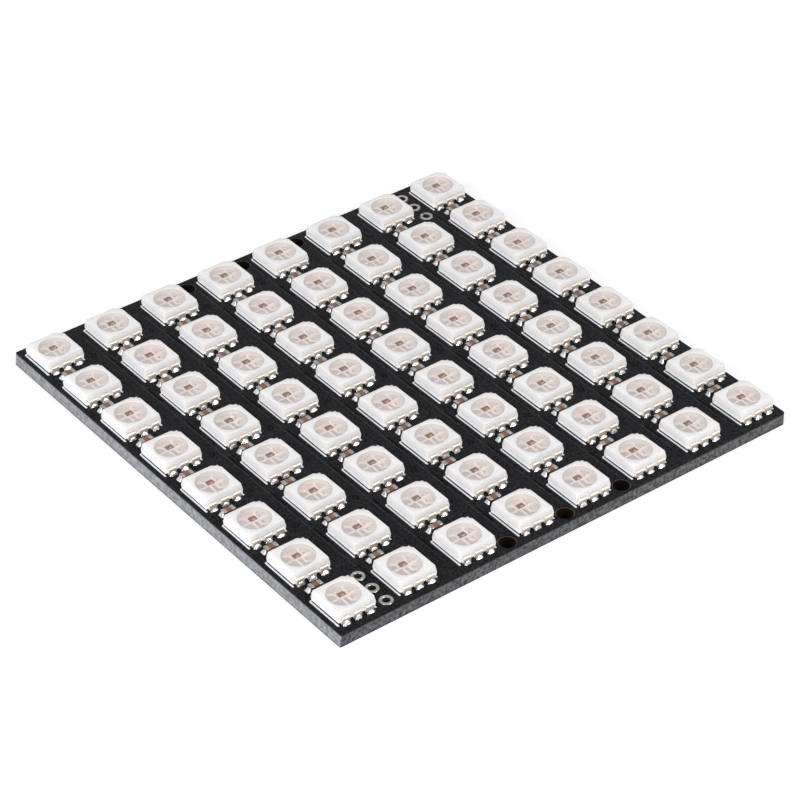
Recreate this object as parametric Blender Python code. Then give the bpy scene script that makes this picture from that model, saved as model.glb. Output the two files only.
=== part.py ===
"""RGB LED matrix panel: a black circuit board with eight rows of eight addressable LED packages.

Metres, +Z up. The origin is at the middle of the board's underside. X runs along the front edge
and Y towards the back edge. Packages are named by row, counted from the front, and by column,
counted from the left.
"""

import math

import bmesh
import bpy
from mathutils import Matrix, Vector

MM = 0.001

# Grid
ROWS = 8
COLUMNS = 8
PITCH = 8.2 * MM

# Circuit board
BOARD_THICKNESS = 1.6 * MM
SIDE_BORDER = 0.65 * MM
END_BORDER = 1.4 * MM
BOARD_CORNER_RADIUS = 0.4 * MM
BOARD_CORNER_STEPS = 2

# Mounting holes, on the lines between the middle columns
MOUNTING_HOLE_DIAMETER = 2.0 * MM
MOUNTING_HOLE_WALL = 0.45 * MM
MOUNTING_HOLES_AT_EACH_END = 3
MOUNTING_HOLE_SIDES = 16

# Header holes, in two rows of three at opposite corners
HEADER_HOLES = 3
HEADER_PITCH = 2.54 * MM
HEADER_HOLE_DIAMETER = 0.9 * MM
HEADER_PAD_DIAMETER = 1.65 * MM
HEADER_PAD_HEIGHT = 0.05 * MM
HEADER_PAD_WALL = 0.93 * MM
HEADER_SIDES = 12

# LED package: heights are above the board's top face
PACKAGE_WIDTH = 5.0 * MM
PACKAGE_HEIGHT = 1.7 * MM
PACKAGE_STANDOFF = 0.3 * MM
PARTING_HEIGHT = 0.85 * MM
UPPER_TAPER = 0.15 * MM
LOWER_TAPER = 0.12 * MM
NOTCH_LEG = 0.83 * MM
NOTCH_DEPTH = 0.35 * MM

# Round window in the package, with the driver chip on its floor
WINDOW_DIAMETER = 3.8 * MM
WINDOW_TAPER = 0.2 * MM
WINDOW_DEPTH = 0.5 * MM
WINDOW_SIDES = 12
CHIP_LENGTH = 1.05 * MM
CHIP_WIDTH = 0.9 * MM
CHIP_HEIGHT = 0.15 * MM
CHIP_OFFSET = 0.35 * MM

# Package leads, bent down from the parting line
LEADS_A_SIDE = 3
LEAD_PITCH = 1.6 * MM
LEAD_WIDTH = 1.0 * MM
LEAD_THICKNESS = 0.18 * MM
LEAD_REACH = 0.28 * MM
LEAD_DROP = 0.03 * MM
LEAD_ROOT = 0.3 * MM
SOLDER_GAP = 0.02 * MM

# Decoupling capacitors, between one row and the next: left of the package's middle, and a
# little behind the middle of the gap
CAPACITOR_LENGTH = 1.6 * MM
CAPACITOR_WIDTH = 0.8 * MM
CAPACITOR_HEIGHT = 0.55 * MM
CAPACITOR_OFFSET = 0.65 * MM
CAPACITOR_SETBACK = 0.1 * MM

# How far a joined piece reaches into what carries it, and a cutter past what it cuts
JOINT_BITE = 0.05 * MM
CUT_CLEARANCE = 0.5 * MM

# Points nearer than this are one point
SAME_PLACE = 0.0001 * MM

# Sizes that follow from the ones above
BOARD_LENGTH = (COLUMNS - 1) * PITCH + PACKAGE_WIDTH + 2 * SIDE_BORDER
BOARD_DEPTH = (ROWS - 1) * PITCH + PACKAGE_WIDTH + 2 * END_BORDER
LEAD_TIP = PACKAGE_WIDTH / 2 + LEAD_REACH


def clear_scene():
    for obj in list(bpy.data.objects):
        bpy.data.objects.remove(obj, do_unlink=True)


def new_collection(name):
    collection = bpy.data.collections.new(name)
    bpy.context.scene.collection.children.link(collection)
    return collection


def material(name, color, roughness, metallic=0.0):
    made = bpy.data.materials.new(name)
    made.use_nodes = True
    shader = made.node_tree.nodes["Principled BSDF"]
    shader.inputs["Base Color"].default_value = (*color, 1.0)
    shader.inputs["Roughness"].default_value = roughness
    shader.inputs["Metallic"].default_value = metallic
    made.diffuse_color = (*color, 1.0)
    return made


def add_object(name, mesh, collection, finish=None):
    obj = bpy.data.objects.new(name, mesh)
    collection.objects.link(obj)
    if finish is not None:
        mesh.materials.append(finish)
    return obj


def add_tool(name, mesh, finish):
    """A shape that only cuts or joins another one."""
    tool = add_object(name, mesh, TOOLS, finish)
    tool.hide_render = True
    tool.display_type = "WIRE"
    return tool


def boolean(target, tool, operation):
    modifier = target.modifiers.new(tool.name, "BOOLEAN")
    modifier.operation = operation
    modifier.solver = "EXACT"
    modifier.material_mode = "TRANSFER"
    modifier.object = tool


def evaluated_mesh(obj):
    """The object's shape after its modifiers, as a mesh of its own."""
    bpy.context.view_layer.update()
    graph = bpy.context.evaluated_depsgraph_get()
    return bpy.data.meshes.new_from_object(obj.evaluated_get(graph), depsgraph=graph)


def mesh_from(name, shape):
    mesh = bpy.data.meshes.new(name)
    shape.to_mesh(mesh)
    shape.free()
    return mesh


def add_box(shape, size, centre):
    """Adds a box to a bmesh, and returns its vertices."""
    place = Matrix.Translation(centre) @ Matrix.Diagonal((*size, 1.0))
    return bmesh.ops.create_cube(shape, size=1.0, matrix=place)["verts"]


def add_cone(shape, sides, low_radius, high_radius, low, high, centre):
    """Adds an upright closed cone or cylinder, with a flat side facing front, to a bmesh."""
    middle = Vector((centre[0], centre[1], (low + high) / 2))
    turn = Matrix.Rotation(math.pi / sides, 4, "Z")
    bmesh.ops.create_cone(
        shape,
        cap_ends=True,
        segments=sides,
        radius1=low_radius,
        radius2=high_radius,
        depth=high - low,
        matrix=Matrix.Translation(middle) @ turn,
    )


def add_copies(shape, mesh, places):
    """Adds a copy of a mesh to a bmesh at each place."""
    for place in places:
        copy = mesh.copy()
        copy.transform(place)
        shape.from_mesh(copy)
        bpy.data.meshes.remove(copy)


def centred(index, count, pitch):
    return (index - (count - 1) / 2) * pitch


def package_centre(row, column):
    return centred(column, COLUMNS, PITCH), centred(row, ROWS, PITCH)


def draw_in(shape, height, inset):
    """Moves the corners at one height in towards the axis."""
    for vertex in shape.verts:
        if abs(vertex.co.z - height) < SAME_PLACE:
            vertex.co.x -= math.copysign(inset, vertex.co.x)
            vertex.co.y -= math.copysign(inset, vertex.co.y)


def housing_shape():
    """The moulded body: two halves that taper away from the parting line."""
    shape = bmesh.new()
    height = PACKAGE_HEIGHT - PACKAGE_STANDOFF
    middle = Vector((0, 0, PACKAGE_STANDOFF + height / 2))
    add_box(shape, (PACKAGE_WIDTH, PACKAGE_WIDTH, height), middle)
    bmesh.ops.bisect_plane(
        shape,
        geom=shape.verts[:] + shape.edges[:] + shape.faces[:],
        plane_co=(0, 0, PARTING_HEIGHT),
        plane_no=(0, 0, 1),
    )
    draw_in(shape, PACKAGE_HEIGHT, UPPER_TAPER)
    draw_in(shape, PACKAGE_STANDOFF, LOWER_TAPER)
    return mesh_from("housing", shape)


def notch_cutter():
    """A block set across the back right corner, which marks the package's first lead."""
    corner = PACKAGE_WIDTH / 2 - UPPER_TAPER
    size = 2 * NOTCH_LEG
    low = PACKAGE_HEIGHT - NOTCH_DEPTH
    outward = size / 2 - NOTCH_LEG / math.sqrt(2)
    shape = bmesh.new()
    height = NOTCH_DEPTH + CUT_CLEARANCE
    verts = add_box(shape, (size, size, height), Vector((outward, 0, low + height / 2)))
    bmesh.ops.rotate(shape, verts=verts, matrix=Matrix.Rotation(math.pi / 4, 3, "Z"))
    bmesh.ops.translate(shape, verts=verts, vec=(corner, corner, 0))
    return mesh_from("notch", shape)


def window_cutter():
    """The round window, narrower at its floor."""
    floor = PACKAGE_HEIGHT - WINDOW_DEPTH
    slope = WINDOW_TAPER / WINDOW_DEPTH
    high = PACKAGE_HEIGHT + CUT_CLEARANCE
    radius = WINDOW_DIAMETER / 2
    shape = bmesh.new()
    add_cone(
        shape,
        WINDOW_SIDES,
        radius - WINDOW_TAPER,
        radius + slope * CUT_CLEARANCE,
        floor,
        high,
        (0, 0),
    )
    return mesh_from("window", shape)


def chip_shape():
    """The driver chip, standing on the window's floor."""
    floor = PACKAGE_HEIGHT - WINDOW_DEPTH
    height = CHIP_HEIGHT + JOINT_BITE
    shape = bmesh.new()
    middle = Vector((0, CHIP_OFFSET, floor + CHIP_HEIGHT - height / 2))
    add_box(shape, (CHIP_LENGTH, CHIP_WIDTH, height), middle)
    return mesh_from("chip", shape)


def lead_outline(foot):
    """One lead from the side: outward from its root in the housing, then down to its foot."""
    top = PARTING_HEIGHT - LEAD_DROP
    under = top - LEAD_THICKNESS
    root = PACKAGE_WIDTH / 2 - LEAD_ROOT
    inner = LEAD_TIP - LEAD_THICKNESS
    return [
        (root, under),
        (root, top),
        (LEAD_TIP, top),
        (LEAD_TIP, foot),
        (inner, foot),
        (inner, under),
    ]


def lead_shape(foot):
    """One lead on the back side, as a flat outline given the lead's width."""
    curve = bpy.data.curves.new("lead outline", "CURVE")
    curve.dimensions = "2D"
    curve.fill_mode = "BOTH"
    curve.extrude = LEAD_WIDTH / 2
    outline = lead_outline(foot)
    spline = curve.splines.new("POLY")
    spline.points.add(len(outline) - 1)
    for point, (outward, height) in zip(spline.points, outline):
        point.co = (outward, height, 0, 1)
    spline.use_cyclic_u = True
    holder = add_object("lead outline", curve, TOOLS)
    mesh = evaluated_mesh(holder)
    bpy.data.objects.remove(holder)
    shape = bmesh.new()
    shape.from_mesh(mesh)
    bmesh.ops.remove_doubles(shape, verts=shape.verts, dist=SAME_PLACE)
    sideways = Matrix(((0, 0, 1), (1, 0, 0), (0, 1, 0))).to_4x4()
    bmesh.ops.transform(shape, matrix=sideways, verts=shape.verts)
    bmesh.ops.recalc_face_normals(shape, faces=shape.faces)
    for face in shape.faces:
        face.smooth = False
    return mesh_from("lead", shape)


def leads_shape(foot):
    """All of a package's leads, three on its front side and three on its back side."""
    lead = lead_shape(foot)
    places = []
    for half_turn in (0, math.pi):
        for index in range(LEADS_A_SIDE):
            along = Matrix.Translation((centred(index, LEADS_A_SIDE, LEAD_PITCH), 0, 0))
            places.append(Matrix.Rotation(half_turn, 4, "Z") @ along)
    shape = bmesh.new()
    add_copies(shape, lead, places)
    return mesh_from("leads", shape)


def package_mesh(foot):
    """One whole LED package around the origin. Its leads end at the foot's height over the board."""
    housing = add_tool("package housing", housing_shape(), WHITE_PLASTIC)
    boolean(housing, add_tool("package notch", notch_cutter(), WHITE_PLASTIC), "DIFFERENCE")
    boolean(housing, add_tool("package window", window_cutter(), LED_WINDOW), "DIFFERENCE")
    boolean(housing, add_tool("driver chip", chip_shape(), CHIP_BROWN), "UNION")
    boolean(housing, add_tool("package leads", leads_shape(foot), TINNED_METAL), "UNION")
    return evaluated_mesh(housing)


def capacitors_shape():
    """Every capacitor: between a package and the next one behind it, towards its left."""
    height = CAPACITOR_HEIGHT + JOINT_BITE
    size = (CAPACITOR_LENGTH, CAPACITOR_WIDTH, height)
    z = BOARD_THICKNESS + CAPACITOR_HEIGHT - height / 2
    shape = bmesh.new()
    for row in range(ROWS - 1):
        for column in range(COLUMNS):
            x, y = package_centre(row, column)
            behind = PITCH / 2 + CAPACITOR_SETBACK
            add_box(shape, size, Vector((x - CAPACITOR_OFFSET, y + behind, z)))
    return mesh_from("capacitors", shape)


def header_hole_centres():
    """Three holes between the first two columns in front, and three between the last two behind."""
    from_edge = HEADER_PAD_WALL + HEADER_PAD_DIAMETER / 2
    x = BOARD_LENGTH / 2 - SIDE_BORDER - PACKAGE_WIDTH / 2 - PITCH / 2
    centres = []
    for side in (-1, 1):
        for index in range(HEADER_HOLES):
            y = BOARD_DEPTH / 2 - from_edge - index * HEADER_PITCH
            centres.append((side * x, side * y))
    return centres


def mounting_hole_centres():
    """The holes along the front and the back edge, each between two columns."""
    y = BOARD_DEPTH / 2 - MOUNTING_HOLE_WALL - MOUNTING_HOLE_DIAMETER / 2
    centres = []
    for side in (-1, 1):
        for index in range(MOUNTING_HOLES_AT_EACH_END):
            centres.append((centred(index, MOUNTING_HOLES_AT_EACH_END, PITCH), side * y))
    return centres


def header_pads_shape():
    """The plated rings of the header holes, before they are drilled."""
    shape = bmesh.new()
    radius = HEADER_PAD_DIAMETER / 2
    high = BOARD_THICKNESS + HEADER_PAD_HEIGHT
    for centre in header_hole_centres():
        add_cone(shape, HEADER_SIDES, radius, radius, BOARD_THICKNESS / 2, high, centre)
    return mesh_from("header pads", shape)


def drills_shape():
    """A rod through each hole of the board."""
    shape = bmesh.new()
    low = -CUT_CLEARANCE
    high = BOARD_THICKNESS + CUT_CLEARANCE
    for centre in header_hole_centres():
        radius = HEADER_HOLE_DIAMETER / 2
        add_cone(shape, HEADER_SIDES, radius, radius, low, high, centre)
    for centre in mounting_hole_centres():
        radius = MOUNTING_HOLE_DIAMETER / 2
        add_cone(shape, MOUNTING_HOLE_SIDES, radius, radius, low, high, centre)
    return mesh_from("drills", shape)


def board_blank():
    """The board before drilling, with rounded corners."""
    shape = bmesh.new()
    size = (BOARD_LENGTH, BOARD_DEPTH, BOARD_THICKNESS)
    add_box(shape, size, Vector((0, 0, BOARD_THICKNESS / 2)))
    upright = [e for e in shape.edges if abs(e.verts[0].co.z - e.verts[1].co.z) > BOARD_THICKNESS / 2]
    bmesh.ops.bevel(
        shape,
        geom=upright,
        offset=BOARD_CORNER_RADIUS,
        segments=BOARD_CORNER_STEPS,
        profile=0.5,
        affect="EDGES",
    )
    return mesh_from("board", shape)


def back_row_shape(package):
    """The back row's packages, whose leads reach into the board."""
    shape = bmesh.new()
    places = []
    for column in range(COLUMNS):
        x, y = package_centre(ROWS - 1, column)
        places.append(Matrix.Translation((x, y, BOARD_THICKNESS)))
    add_copies(shape, package, places)
    return mesh_from("back row", shape)


def add_board(panel):
    """The board, in one piece with its header pads, its capacitors and the back row of packages."""
    package = package_mesh(-JOINT_BITE)
    board = add_object("circuit_board", board_blank(), PANEL, BLACK_MASK)
    board.parent = panel
    pads = add_tool("header pads", header_pads_shape(), TINNED_METAL)
    capacitors = add_tool("capacitors", capacitors_shape(), CERAMIC_BROWN)
    back_row = add_tool("back row", back_row_shape(package), None)
    for finish in package.materials:
        back_row.data.materials.append(finish)
    boolean(board, pads, "UNION")
    boolean(board, capacitors, "UNION")
    boolean(board, back_row, "UNION")
    boolean(board, add_tool("drills", drills_shape(), BARE_LAMINATE), "DIFFERENCE")


def add_packages(panel):
    """One object for each package of the other rows, standing on its solder."""
    package = package_mesh(SOLDER_GAP)
    for row in range(ROWS - 1):
        for column in range(COLUMNS):
            x, y = package_centre(row, column)
            led = add_object(f"led_r{row + 1}_c{column + 1}", package, PANEL)
            led.location = (x, y, BOARD_THICKNESS)
            led.parent = panel


clear_scene()
PANEL = new_collection("rgb_led_matrix_panel")
TOOLS = new_collection("cutters")
BLACK_MASK = material("black solder mask", (0.012, 0.012, 0.014), 0.35)
BARE_LAMINATE = material("drilled laminate", (0.16, 0.1, 0.06), 0.8)
WHITE_PLASTIC = material("white moulded plastic", (0.8, 0.79, 0.79), 0.45)
LED_WINDOW = material("resin window", (0.68, 0.62, 0.6), 0.2)
CHIP_BROWN = material("driver chip", (0.14, 0.06, 0.03), 0.3)
TINNED_METAL = material("tinned metal", (0.83, 0.82, 0.8), 0.25, 1.0)
CERAMIC_BROWN = material("capacitor ceramic", (0.22, 0.1, 0.06), 0.5)

panel_origin = bpy.data.objects.new("panel", None)
PANEL.objects.link(panel_origin)
add_board(panel_origin)
add_packages(panel_origin)
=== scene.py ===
"""The looks of the RGB LED matrix panel: a black board with eight rows of eight LED packages.

Metres, in the frame's own axes: X along the front edge, Y towards the back, Z up from the board's
underside. A package, a capacitor and a ring are each modelled once around the origin, and copied
to their places. Rows are counted from the front, columns from the left.
"""

import math
import random

import bmesh
import bpy
from mathutils import Matrix, Vector


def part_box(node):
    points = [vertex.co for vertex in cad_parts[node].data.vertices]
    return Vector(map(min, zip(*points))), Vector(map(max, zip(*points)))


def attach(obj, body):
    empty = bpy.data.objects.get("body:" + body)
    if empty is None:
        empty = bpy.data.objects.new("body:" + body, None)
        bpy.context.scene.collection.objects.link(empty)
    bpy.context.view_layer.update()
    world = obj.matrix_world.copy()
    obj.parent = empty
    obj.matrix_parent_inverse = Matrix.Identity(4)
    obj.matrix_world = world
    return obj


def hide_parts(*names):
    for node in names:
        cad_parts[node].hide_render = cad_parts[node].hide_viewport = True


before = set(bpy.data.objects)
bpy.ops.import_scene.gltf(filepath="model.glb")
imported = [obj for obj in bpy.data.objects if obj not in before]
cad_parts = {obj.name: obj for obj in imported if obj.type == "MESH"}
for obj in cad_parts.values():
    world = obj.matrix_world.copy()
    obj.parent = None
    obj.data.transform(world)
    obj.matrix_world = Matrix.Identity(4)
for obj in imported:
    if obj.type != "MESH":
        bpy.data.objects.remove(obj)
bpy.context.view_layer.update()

MM = 0.001
ROWS = 8
COLUMNS = 8
SAME_PLACE = 0.0002 * MM
FLAT_ANGLE = math.radians(15)
BEVEL_ANGLE = math.radians(30)

# Camera, at the photograph's place
CAMERA_PLACE = Vector((-177.894, -237.978, 219.043)) * MM
CAMERA_AZIMUTH = math.radians(36.894)
CAMERA_DOWN = math.radians(36.525)
CAMERA_ROLL = math.radians(0.7315)
CAMERA_LENS = 141.51
SENSOR_WIDTH = 36.0

# Floor
FLOOR_SIZE = 3.0
FLOOR_DROP = 0.02 * MM

# Board
BOARD_THICKNESS = 1.6 * MM
FRONT_LEFT_CORNER = 0.12 * MM
FRONT_RIGHT_CORNER = 0.4 * MM
BACK_RIGHT_CORNER = 0.4 * MM
BACK_LEFT_CORNER = 0.2 * MM
LEFT_LEAN = 0.19 * MM
CORNER_STEPS = 6
MASK_THICKNESS = 0.1 * MM
MASK_CLEARANCE = 0.05 * MM
HOLE_CLEARANCE = 0.1 * MM
# The back mask laps into the mounting holes: a dark sheet that stands for the shade seen through
# them
SHADE_LAP = 0.16 * MM
COPPER_HEIGHT = 0.03 * MM
EDGE_LINE_FOOT = 0.15 * MM
EDGE_LINE_TOP = 0.03 * MM

# Mounting holes
MOUNTING_HOLE_RADIUS = 1.0 * MM
MOUNTING_HOLE_PLACES = (-8.2 * MM, 0.0, 8.2 * MM)
MOUNTING_HOLE_FROM_EDGE = 1.45 * MM
MOUNTING_HOLE_SIDES = 64

# Header holes
HEADER_SIDE = 24.6 * MM
HEADER_FROM_EDGE = 1.755 * MM
HEADER_PITCH = 2.54 * MM
HEADER_HOLES = 3
HEADER_RADIUS = 0.45 * MM
HEADER_RING = 0.825 * MM
RING_CROWN = 0.04 * MM
RING_SIDES = 48
BARREL_WALL = 0.03 * MM
BARREL_SIDES = 40

# LED package, with heights over the board's top face
PACKAGE_WIDTH = 5.0 * MM
PACKAGE_HEIGHT = 1.7 * MM
STANDOFF = 0.3 * MM
PARTING = 0.85 * MM
UPPER_TAPER = 0.15 * MM
LOWER_TAPER = 0.06 * MM
HOUSING_CORNER = 0.03 * MM
HOUSING_CORNER_STEPS = 3
HOUSING_EDGE = 0.05 * MM
NOTCH_LEG = 0.83 * MM
NOTCH_DEPTH = 0.35 * MM
WINDOW_RADIUS = 1.95 * MM
WINDOW_PLACE = Vector((-0.04, -0.1)) * MM
WINDOW_TAPER = 0.2 * MM
WINDOW_DEPTH = 0.5 * MM
WINDOW_SIDES = 72
WINDOW_BOTTOM = PACKAGE_HEIGHT - WINDOW_DEPTH
WINDOW_SLOPE = WINDOW_TAPER / WINDOW_DEPTH
FLOOR_RADIUS = WINDOW_RADIUS - WINDOW_TAPER
CUT_CLEAR = 0.5 * MM
RESIN_GAP = 0.005 * MM
RESIN_SINK = 0.03 * MM
RESIN_RINGS = 6
MENISCUS = 0.04 * MM
# Painted light: an emission on the housing, strongest at its foot, that brightens its shaded lower
# half and fades out just over the parting line
PAINTED_GLOW_AT_FOOT = 0.58
PAINTED_GLOW_END = PARTING + 0.1 * MM

# Lead frame, chips and wires on the window's floor
FRAME_THICKNESS = 0.03 * MM
FRAME_TOP = WINDOW_BOTTOM + FRAME_THICKNESS
FRAME_EDGE = 0.05 * MM
FRAME_GAP = 0.3 * MM
FRAME_SPLIT = -0.08 * MM
ISLAND_EDGE = 0.008 * MM
# Islands left of this side, or in front and left of the next, get the silver in painted shade
SHADED_SIDE = -0.5 * MM
SHADED_FRONT_SIDE = 0.6 * MM
CHIP_SIZE = Vector((0.88, 0.64, 0.12)) * MM
CHIP_PLACE = Vector((-0.02, 0.33)) * MM
CHIP_EDGE = 0.012 * MM
DIE_SIZE = Vector((0.2, 0.26, 0.08)) * MM
DIE_EDGE = 0.01 * MM
DIE_PLACES = (
    Vector((-0.04, -0.42)) * MM,
    Vector((0.94, 0.24)) * MM,
    Vector((0.66, -0.68)) * MM,
)
WIRE_INSET = 0.04 * MM
WIRE_RADIUS = 0.012 * MM
WIRE_RISE = 0.16 * MM
WIRE_ROUNDNESS = 0.7
WIRE_DROOP = 0.35
WIRE_STEPS = 8

# Fields of wiring on the chip: x, y, width and depth in mm, and a height in layers. The copper
# field is partly wiring and partly a painted reflection; the pale field in front is partly pads
# and partly a painted highlight
CHIP_LAYER = 0.006 * MM
LOGIC_FIELD = (0.08, 0.0, 0.6, 0.42, 1)
DRIVERS_AND_REFLECTION_FIELD = (0.06, -0.1, 0.5, 0.3, 2)
PADS_AND_HIGHLIGHT_FIELD = (0.02, -0.25, 0.4, 0.12, 3)

# Leads and their solder
LEADS_A_SIDE = 3
LEAD_PITCH = 1.6 * MM
LEAD_WIDTH = 1.0 * MM
LEAD_THICKNESS = 0.18 * MM
LEAD_TOP = 0.92 * MM
LEAD_TIP = 2.7 * MM
LEAD_ROOT = 2.2 * MM
LEAD_FOOT = 1.9 * MM
LEAD_BEND = 0.22 * MM
LEAD_EDGE = 0.02 * MM
BEND_STEPS = 5
PAD_HEIGHT = 0.02 * MM
SOLDER_WIDTH = 1.0 * MM
SOLDER_REACH = 0.22 * MM
SOLDER_HEIGHT = 0.32 * MM
SOLDER_WAIST = 0.62
SOLDER_STEEPNESS = 1.15
FILLET_ACROSS = 14
FILLET_ALONG = 8
FILLET_SWELL = 0.1

# Capacitors
CAPACITOR_SIZE = Vector((1.6, 0.8, 0.55)) * MM
CAPACITOR_PLACE = Vector((-0.65, 4.2)) * MM
CAPACITOR_END = 0.48 * MM
CAPACITOR_PLATING = 0.02 * MM
CAPACITOR_EDGE = 0.03 * MM
CAPACITOR_END_EDGE = 0.06 * MM
CAPACITOR_SOLDER_WIDTH = 0.84 * MM
CAPACITOR_SOLDER_REACH = 0.36 * MM
CAPACITOR_SOLDER_HEIGHT = 0.44 * MM
CAPACITOR_SOLDER_WAIST = 0.8
CAPACITOR_SOLDER_STEEPNESS = 1.6

# White print beside each package
MARK_WIDTH = 0.22 * MM
MARK_SIDE = -2.49 * MM
MARK_FRONT = -2.52 * MM
MARK_BACK = 2.78 * MM
MARK_HOOK = 0.36 * MM
MARK_HEIGHT = 0.015 * MM
MARK_STEPS = 4

# Copper under the mask, placed from the package at its right
RAIL_SIDE = -3.97 * MM
RAIL_WIDTH = 1.0 * MM
TRACK_SIDE = -3.32 * MM
TRACK_WIDTH = 0.22 * MM
DITCH_SIDE = -3.04 * MM
DITCH_WIDTH = 0.19 * MM
DITCH_FRONT = 1.35 * MM
DITCH_BACK = 4.35 * MM
DITCH_HEIGHT = 0.004 * MM
RAIL_END = 29.6 * MM
HEADER_CLEAR = 24.4 * MM
VIA_PLACE = Vector((3.81, -2.36)) * MM
VIA_RADIUS = 0.42 * MM
VIA_DRILL = 0.24 * MM
VIA_SLOPE = 0.03 * MM
VIA_SIDES = 32
VIA_DRILL_SIDES = 24
VIA_ROWS = (2, 4, 7)

# How unevenly the parts were placed and soldered
PACKAGE_SEED = 5
PACKAGE_TURN = math.radians(0.5)
PACKAGE_SHIFT = 0.03 * MM
CAPACITOR_SEED = 11
CAPACITOR_TURN = math.radians(1.5)
SOLDER_UNEVEN = 0.25


# Places, read from the frame

def node_name(row, column):
    return f"led_r{row + 1}_c{column + 1}"


def node_middle(name):
    low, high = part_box(name)
    return (low + high) / 2


FIRST_PACKAGE = node_middle(node_name(0, 0))
PITCH_STEP = node_middle(node_name(1, 1)) - FIRST_PACKAGE
BOARD_LOW, BOARD_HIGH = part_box("circuit_board")
BOARD_LENGTH = BOARD_HIGH.x - BOARD_LOW.x
BOARD_DEPTH = BOARD_HIGH.y - BOARD_LOW.y


def package_place(row, column):
    """The middle of a package on the board's top face."""
    x = FIRST_PACKAGE.x + column * PITCH_STEP.x
    y = FIRST_PACKAGE.y + row * PITCH_STEP.y
    return Vector((x, y, BOARD_THICKNESS))


def moves_to_packages(rows, columns, offset=(0, 0)):
    """The moves from the origin to some packages, or to a place beside each of them."""
    beside = Vector((*offset, 0))
    return [
        Matrix.Translation(package_place(row, column) + beside)
        for row in rows
        for column in columns
    ]


def mounting_hole_places():
    y = BOARD_DEPTH / 2 - MOUNTING_HOLE_FROM_EDGE
    return [(x, side * y) for side in (-1, 1) for x in MOUNTING_HOLE_PLACES]


def header_hole_places():
    """Three holes near the front left corner, then three near the back right one."""
    places = []
    for side in (-1, 1):
        for index in range(HEADER_HOLES):
            y = BOARD_DEPTH / 2 - HEADER_FROM_EDGE - index * HEADER_PITCH
            places.append((side * HEADER_SIDE, side * y))
    return places


# Mesh making

def put_in_scene(name, data):
    """A new object that holds the data."""
    obj = bpy.data.objects.new(name, data)
    bpy.context.scene.collection.objects.link(obj)
    return obj


def mesh_from(name, shape):
    mesh = bpy.data.meshes.new(name)
    shape.to_mesh(mesh)
    shape.free()
    return mesh


def add_box(shape, size, centre, turn=0.0):
    """Adds a box to a bmesh, turned about its upright axis."""
    place = Matrix.Translation(centre) @ Matrix.Rotation(turn, 4, "Z")
    stretch = Matrix.Diagonal((*size, 1.0))
    return bmesh.ops.create_cube(shape, size=1.0, matrix=place @ stretch)["verts"]


def add_cylinder(shape, sides, low_radius, high_radius, low, high, centre=(0, 0)):
    middle = Matrix.Translation((centre[0], centre[1], (low + high) / 2))
    bmesh.ops.create_cone(
        shape,
        cap_ends=True,
        segments=sides,
        radius1=low_radius,
        radius2=high_radius,
        depth=high - low,
        matrix=middle,
    )


def turned_mesh(name, profile, sides, closed=True):
    """A shape turned about the upright axis from (radius, height) points."""
    shape = bmesh.new()
    verts = [shape.verts.new((radius, 0, height)) for radius, height in profile]
    edges = [shape.edges.new(pair) for pair in zip(verts, verts[1:])]
    if closed:
        edges.append(shape.edges.new((verts[-1], verts[0])))
    bmesh.ops.spin(
        shape,
        geom=verts + edges,
        axis=(0, 0, 1),
        cent=(0, 0, 0),
        angle=2 * math.pi,
        steps=sides,
        use_merge=True,
    )
    bmesh.ops.remove_doubles(shape, verts=shape.verts, dist=SAME_PLACE)
    bmesh.ops.recalc_face_normals(shape, faces=shape.faces)
    return mesh_from(name, shape)


def prism_mesh(name, outline, low, high):
    """A flat outline of (x, y) points, given a height."""
    shape = bmesh.new()
    verts = [shape.verts.new((x, y, low)) for x, y in outline]
    face = shape.faces.new(verts)
    raised = bmesh.ops.extrude_face_region(shape, geom=[face])["geom"]
    top = [part for part in raised if isinstance(part, bmesh.types.BMVert)]
    bmesh.ops.translate(shape, verts=top, vec=(0, 0, high - low))
    bmesh.ops.recalc_face_normals(shape, faces=shape.faces)
    return mesh_from(name, shape)


def arc(centre, radius, start, end, steps):
    """Points on an arc, with its angles in degrees."""
    points = []
    for step in range(steps + 1):
        angle = math.radians(start + (end - start) * step / steps)
        x = centre[0] + radius * math.cos(angle)
        y = centre[1] + radius * math.sin(angle)
        points.append((x, y))
    return points


def shaped(name, mesh, cuts=(), edge=0.0, edge_steps=2):
    """A mesh after the cuts, with its sharp edges rounded."""
    holder = put_in_scene(name, mesh)
    tools = []
    for index, (tool_mesh, operation) in enumerate(cuts):
        tool = put_in_scene(f"{name} tool {index}", tool_mesh)
        tools.append(tool)
        modifier = holder.modifiers.new(tool.name, "BOOLEAN")
        modifier.operation = operation
        modifier.solver = "EXACT"
        modifier.material_mode = "TRANSFER"
        modifier.object = tool
    if edge:
        bevel = holder.modifiers.new("rounded edges", "BEVEL")
        bevel.width = edge
        bevel.segments = edge_steps
        bevel.limit_method = "ANGLE"
        bevel.angle_limit = BEVEL_ANGLE
    bpy.context.view_layer.update()
    graph = bpy.context.evaluated_depsgraph_get()
    made = bpy.data.meshes.new_from_object(holder.evaluated_get(graph), depsgraph=graph)
    for obj in [holder, *tools]:
        bpy.data.objects.remove(obj)
    made.name = name
    return made


def copies_mesh(name, mesh, places):
    """Copies of a mesh at several places, joined, with its finishes."""
    shape = bmesh.new()
    for place in places:
        copy = mesh.copy()
        copy.transform(place)
        shape.from_mesh(copy)
        bpy.data.meshes.remove(copy)
    joined = mesh_from(name, shape)
    for finish in mesh.materials:
        joined.materials.append(finish)
    return joined


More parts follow.
